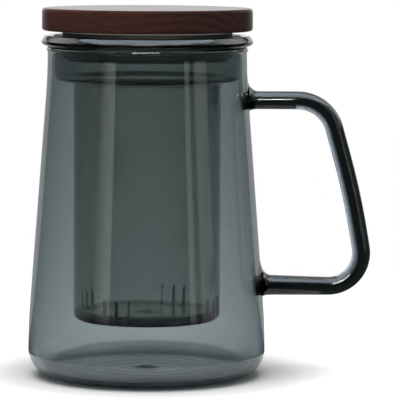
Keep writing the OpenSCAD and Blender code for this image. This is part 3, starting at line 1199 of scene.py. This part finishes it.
def show_in_mirrors_only(stage, behind=0.0):
    """Black cloth that mirrored rays see, and that takes no light away.

    behind is how pale it is behind the object, where white is 1.
    """
    material, tree, output = blank_material(stage.name + "_cloth")
    place = add_node(tree, "ShaderNodeTexCoord")
    way = add_node(
        tree, "ShaderNodeVectorMath", {"operation": "NORMALIZE"},
        {0: place.outputs["Object"]})
    axes = add_node(
        tree, "ShaderNodeSeparateXYZ", links={"Vector": way.outputs[0]})
    pale = add_node(
        tree, "ShaderNodeMapRange",
        {"From Min": PALE_SHARES[0], "From Max": PALE_SHARES[1], "To Min": 0.0,
         "To Max": behind, "interpolation_type": "SMOOTHSTEP"},
        {"Value": axes.outputs["Y"]})
    cloth = add_node(
        tree, "ShaderNodeEmission", {"Color": linear(WHITE)},
        {"Strength": pale.outputs[0]})
    tree.links.new(cloth.outputs[0], output.inputs["Surface"])
    stage.data.materials.append(material)
    hide_from(stage, "camera", "diffuse", "transmission", "shadow")


# Distance of the black drapes from the mug, and the height of a cloth above the
# floor.
DRAPE_R = 1.3
CLOTH_Z = 2 * FLOOR_DROP


def dark_drape(name, high, start, end):
    """A black drape around the mug, from azimuth start to end, as in around."""
    deselect_all()
    bpy.ops.mesh.primitive_cylinder_add(
        vertices=120, radius=DRAPE_R, depth=high, end_fill_type="NOTHING",
        location=(0, 0, high / 2))
    drape = bpy.context.object
    drape.name = name
    apply_place()
    bpy.ops.object.mode_set(mode="EDIT")
    bpy.ops.mesh.select_all(action="DESELECT")
    mesh = bmesh.from_edit_mesh(drape.data)
    for face in mesh.faces:
        centre = face.calc_center_median()
        azimuth = math.degrees(math.atan2(centre.x, -centre.y))
        if not start < azimuth < end:
            face.select_set(True)
    bmesh.update_edit_mesh(drape.data)
    bpy.ops.mesh.delete(type="FACE")
    bpy.ops.object.mode_set(mode="OBJECT")
    show_in_mirrors_only(drape)


def dark_cloth(name, inner, outer, behind):
    """A cloth around the foot, just above the floor: black, and paler behind."""
    deselect_all()
    bpy.ops.mesh.primitive_circle_add(
        vertices=96, radius=outer, fill_type="NOTHING", location=(0, 0, CLOTH_Z))
    cloth = bpy.context.object
    cloth.name = name
    apply_place()
    bpy.ops.object.mode_set(mode="EDIT")
    bpy.ops.mesh.select_all(action="SELECT")
    extrude_ring((0, 0, 0), inner / outer, (0, 0, CLOTH_Z))
    bpy.ops.object.mode_set(mode="OBJECT")
    show_in_mirrors_only(cloth, behind)


def lamps(studio):
    """Soft light from above and both sides, and the lamps that the glass mirrors."""
    overhead_z = 1.1
    rim = (0, 0, MUG_HIGH.z)
    softbox(
        "lamp_overhead", (-0.1, -0.3, overhead_z), (-0.1, -0.3, 0),
        width=1.2, height=1.2, level=4.2, hidden=("glossy",))
    # Mirrored rays see it wider, so that round glass shows one long strip.
    softbox(
        "overhead_mirrored", (0, -0.35, overhead_z), (0, -0.35, 0),
        width=2.6, height=1.25, level=5.6, fades=(0.15, 0.15),
        shade=studio.lamp_colour, hidden=("diffuse",))
    softbox(
        "lamp_left", around(-46, 0.9, 0.42), (0, 0, 0.42),
        width=0.38, height=0.84, level=1.5, fades=(0.05, 0.85))
    softbox(
        "lamp_right", around(62, 0.5, 0.3), (0, 0, 0.3),
        width=0.17, height=0.6, level=0.95, fades=(0.2, 0.2))
    softbox(
        "lamp_right_front", around(45, 0.5, 0.3), (0, 0, 0.3),
        width=0.06, height=0.6, level=1.1, fades=(0.2, 0.2))
    # A small lamp beside the handle puts a light edge on its inner side.
    small_lamp(
        "lamp_inner", (66 * MM, -3 * MM, 66 * MM), (83 * MM, -3 * MM, 71 * MM),
        width=24 * MM, height=56 * MM, power=0.026, shade="#D5E4F4")
    softbox(
        "lamp_rim", (0, -0.25, 0.167), (0, 0, MUG_HIGH.z / 2),
        width=0.135, height=0.05, level=30.0, hidden=("diffuse", "transmission"))
    softbox(
        "lamp_lip", (0, -0.25, 0.27), rim,
        width=0.09, height=0.05, level=16.0, hidden=("diffuse", "transmission"))
    for name, azimuth, fades in (
            ("lip_end_left", -125, (0.1, 0.6)), ("lip_end_right", 125, (0.6, 0.1))):
        softbox(
            name, around(azimuth, 1.2, 0.82), rim,
            width=1.5, height=0.8, level=2.4, fades=fades, hidden=("diffuse",))


def dark_cloths():
    """The black drapes, which stand high in front, and the cloth round the foot."""
    for name, high, start, end in (
            ("drape_front", 0.95, -75, 75),
            ("drape_left", 0.35, -141, -75),
            ("drape_right", 0.35, 75, 141)):
        dark_drape(name, high, start, end)
    dark_cloth("dark_cloth", inner=0.07, outer=8.0, behind=0.42)


# How far the picture's middle lies off the lens's axis, in widths of the picture.
SHIFT_X = -0.002
SHIFT_Y = 0.00125


def camera(studio):
    """The camera, a long lens a metre away and a little above the lid."""
    data = bpy.data.cameras.new("camera")
    data.sensor_width = 36
    data.lens = studio.lens / MM
    data.shift_x = SHIFT_X
    data.shift_y = SHIFT_Y
    data.clip_end = 50
    view = bpy.data.objects.new("camera", data)
    bpy.context.scene.collection.objects.link(view)
    view.location = studio.camera
    view.rotation_mode = "XYZ"
    view.rotation_euler = (math.pi / 2 - studio.tilt, 0, 0)
    view.rotation_euler.rotate_axis("Z", studio.roll)
    bpy.context.scene.camera = view


# ---------------------------------------------------------------- operators


class TEAMUG_OT_body(Operator):
    """Blow the mug's smoked glass body"""

    bl_idname = "teamug.body"
    bl_label = "Mug Body"

    def execute(self, context):
        scene = context.scene
        mug = scene.mug_sizes
        finishes = scene.mug_finishes
        piece = lathe("glass_body", mug_outline(mug))
        glass = smoked_glass(
            "smoked_borosilicate_body", finishes.body_glass, mug.wall,
            mug.height, cloud=28 * MM, draw=1.5, skin_high=finishes.body_neck)
        finish_piece(piece, "mug", "mug_body", glass)
        return {"FINISHED"}


class TEAMUG_OT_handle(Operator):
    """Bend the glass rod and fuse it to the wall"""

    bl_idname = "teamug.handle"
    bl_label = "Rod Handle"

    def execute(self, context):
        scene = context.scene
        handle = scene.handle_sizes
        mug = scene.mug_sizes
        piece = model_rod("glass_handle", handle, mug)
        fit_weld_to_wall(piece, handle, mug)
        glass = smoked_glass(
            "smoked_borosilicate_rod", scene.mug_finishes.rod_glass, handle.rod,
            mug.height, cloud=14 * MM, draw=1.0)
        finish_piece(piece, "mug", "handle", glass)
        return {"FINISHED"}


class TEAMUG_OT_infuser(Operator):
    """Shape the glass infuser and saw its slits"""

    bl_idname = "teamug.infuser"
    bl_label = "Infuser"

    def execute(self, context):
        scene = context.scene
        infuser = scene.infuser_sizes
        finishes = scene.mug_finishes
        piece = lathe("glass_infuser", infuser_outline(infuser, scene.mug_sizes))
        # The lip was pressed in a mould, down to just under the mug's rim.
        glass = smoked_glass(
            "smoked_borosilicate_tube", finishes.tube_glass, infuser.wall,
            infuser.top, cloud=9 * MM, draw=14.0,
            true_z=scene.mug_sizes.height - 4 * MM)
        ground = shaded_ground_glass(
            "ground_borosilicate", finishes.shaded_ground_glass, finishes.tube_glass,
            infuser.wall)
        cutter = slit_cutter(infuser)
        for mesh in (piece.data, cutter.data):
            mesh.materials.append(glass)
            mesh.materials.append(ground)
        # The sawn faces take the second material.
        for face in cutter.data.polygons:
            face.material_index = 1
        cut_away(piece, cutter)
        bpy.ops.object.shade_smooth_by_angle(angle=math.radians(45))
        place_piece(piece, "infuser", "infuser")
        return {"FINISHED"}


class TEAMUG_OT_seal(Operator):
    """Mould the silicone seal with its fins"""

    bl_idname = "teamug.seal"
    bl_label = "Silicone Seal"

    def execute(self, context):
        scene = context.scene
        lid = scene.lid_sizes
        outline = seal_outline(lid, scene.infuser_sizes, scene.mug_sizes)
        piece = lathe("silicone_seal", outline)
        bpy.ops.object.shade_smooth_by_angle(angle=math.radians(35))
        rubber = silicone(scene.mug_finishes, lid.seal_top - lid.highlight_edge)
        finish_piece(piece, "seal", "seal_ring", rubber)
        return {"FINISHED"}


class TEAMUG_OT_lid(Operator):
    """Turn the walnut lid with its plug"""

    bl_idname = "teamug.lid"
    bl_label = "Walnut Lid"

    def execute(self, context):
        scene = context.scene
        piece = lathe("walnut_lid", lid_outline(scene.lid_sizes))
        bpy.ops.object.shade_smooth_by_angle(angle=math.radians(35))
        finish_piece(piece, "lid", "lid", walnut(scene.mug_finishes))
        return {"FINISHED"}


class TEAMUG_OT_stage(Operator):
    """Set up the white floor, the soft lamps and the camera"""

    bl_idname = "teamug.stage"
    bl_label = "Studio"

    def execute(self, context):
        studio = context.scene.mug_studio
        context.scene.view_settings.view_transform = "Standard"
        deselect_all()
        white_room(studio)
        white_floor(studio)
        lamps(studio)
        dark_cloths()
        camera(studio)
        return {"FINISHED"}


class TEAMUG_PT_panel(Panel):
    """The mug's pieces and settings in the 3D view's sidebar"""

    bl_idname = "TEAMUG_PT_panel"
    bl_label = "Glass Tea Mug"
    bl_space_type = "VIEW_3D"
    bl_region_type = "UI"
    bl_category = "Tea Mug"

    def draw(self, context):
        for operator in OPERATORS:
            self.layout.operator(operator.bl_idname)
        for name in SETTINGS:
            box = self.layout.box()
            group = getattr(context.scene, name)
            for key in group.bl_rna.properties.keys():
                if key not in ("rna_type", "name"):
                    box.prop(group, key)


OPERATORS = (
    TEAMUG_OT_body,
    TEAMUG_OT_handle,
    TEAMUG_OT_infuser,
    TEAMUG_OT_seal,
    TEAMUG_OT_lid,
    TEAMUG_OT_stage,
)
CLASSES = (*SETTINGS.values(), *OPERATORS, TEAMUG_PT_panel)


def register():
    """Registers the classes and hangs the settings on the scene."""
    for cls in CLASSES:
        bpy.utils.register_class(cls)
    for name, group in SETTINGS.items():
        setattr(bpy.types.Scene, name, PointerProperty(type=group))


def unregister():
    """Takes everything back that register set up."""
    for name in SETTINGS:
        delattr(bpy.types.Scene, name)
    for cls in reversed(CLASSES):
        bpy.utils.unregister_class(cls)


def main():
    register()
    bpy.ops.teamug.body()
    bpy.ops.teamug.handle()
    bpy.ops.teamug.infuser()
    bpy.ops.teamug.seal()
    bpy.ops.teamug.lid()
    bpy.ops.teamug.stage()


if __name__ == "__main__":
    main()
